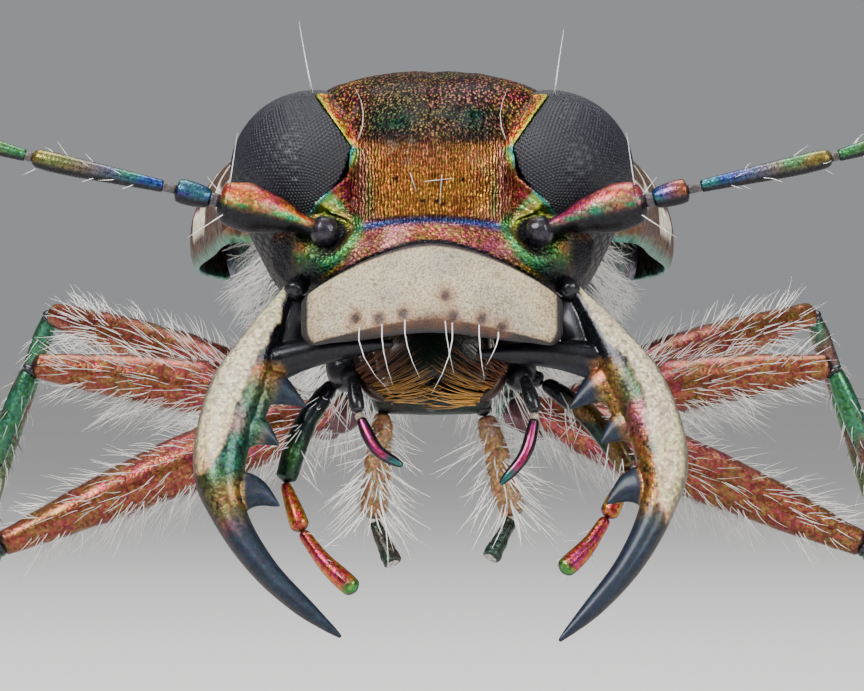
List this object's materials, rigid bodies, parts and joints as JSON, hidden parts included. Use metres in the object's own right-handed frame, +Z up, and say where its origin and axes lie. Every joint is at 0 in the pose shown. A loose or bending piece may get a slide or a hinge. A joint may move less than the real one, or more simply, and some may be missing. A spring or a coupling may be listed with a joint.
{
  "type": "tiger beetle",
  "caption": "Life-size tiger beetle standing on six long legs, with sickle-shaped toothed jaws, an ivory upper lip, bulging faceted eyes and long feelers.",
  "frame": {"origin": "on the floor, under the middle of the whole animal's bounding box", "axes": "the animal faces -Y, its own left side is +X and +Z is up"},
  "size_m": [0.017, 0.018, 0.0086],
  "materials": {
    "copper_cuticle": "metallic copper sheen",
    "bronze_cuticle": "dull metallic bronze",
    "green_cuticle": "metallic green sheen",
    "dark_cuticle": "glossy",
    "tan_cuticle": "satin",
    "ivory": "satin, granular",
    "eye": "fine facets"
  },
  "bodies": {
    "root": {"abdomen": "green_cuticle", "antenna_left_flagellum_1": "green_cuticle", "antenna_left_flagellum_2": "bronze_cuticle", "antenna_left_pedicel": "green_cuticle", "antenna_left_scape": "copper_cuticle", "antenna_right_flagellum_1": "green_cuticle", "antenna_right_flagellum_2": "bronze_cuticle", "antenna_right_pedicel": "green_cuticle", "antenna_right_scape": "copper_cuticle", "elytron_left": "bronze_cuticle", "elytron_right": "bronze_cuticle", "eye_left": "eye", "eye_right": "eye", "galea_left": "copper_cuticle", "galea_right": "copper_cuticle", "head": "copper_cuticle", "labial_palp_left_1": "tan_cuticle", "labial_palp_left_2": "green_cuticle", "labial_palp_right_1": "tan_cuticle", "labial_palp_right_2": "green_cuticle", "labium": "dark_cuticle", "labrum": "ivory", "leg_front_left_coxa": "copper_cuticle", "leg_front_left_femur": "copper_cuticle", "leg_front_left_tarsus": "green_cuticle", "leg_front_left_tibia": "copper_cuticle", "leg_front_right_coxa": "copper_cuticle", "leg_front_right_femur": "copper_cuticle", "leg_front_right_tarsus": "green_cuticle", "leg_front_right_tibia": "copper_cuticle", "leg_hind_left_coxa": "copper_cuticle", "leg_hind_left_femur": "copper_cuticle", "leg_hind_left_tarsus": "green_cuticle", "leg_hind_left_tibia": "copper_cuticle", "leg_hind_right_coxa": "copper_cuticle", "leg_hind_right_femur": "copper_cuticle", "leg_hind_right_tarsus": "green_cuticle", "leg_hind_right_tibia": "copper_cuticle", "leg_middle_left_coxa": "copper_cuticle", "leg_middle_left_femur": "copper_cuticle", "leg_middle_left_tarsus": "green_cuticle", "leg_middle_left_tibia": "copper_cuticle", "leg_middle_right_coxa": "copper_cuticle", "leg_middle_right_femur": "copper_cuticle", "leg_middle_right_tarsus": "green_cuticle", "leg_middle_right_tibia": "copper_cuticle", "mandible_left": "ivory", "mandible_right": "ivory", "maxilla_left": "dark_cuticle", "maxilla_right": "dark_cuticle", "maxillary_palp_left_1": "copper_cuticle", "maxillary_palp_left_2": "copper_cuticle", "maxillary_palp_left_3": "copper_cuticle", "maxillary_palp_right_1": "copper_cuticle", "maxillary_palp_right_2": "copper_cuticle", "maxillary_palp_right_3": "copper_cuticle", "prothorax": "copper_cuticle", "pterothorax": "green_cuticle", "scutellum": "copper_cuticle"}
  },
  "joints": []
}
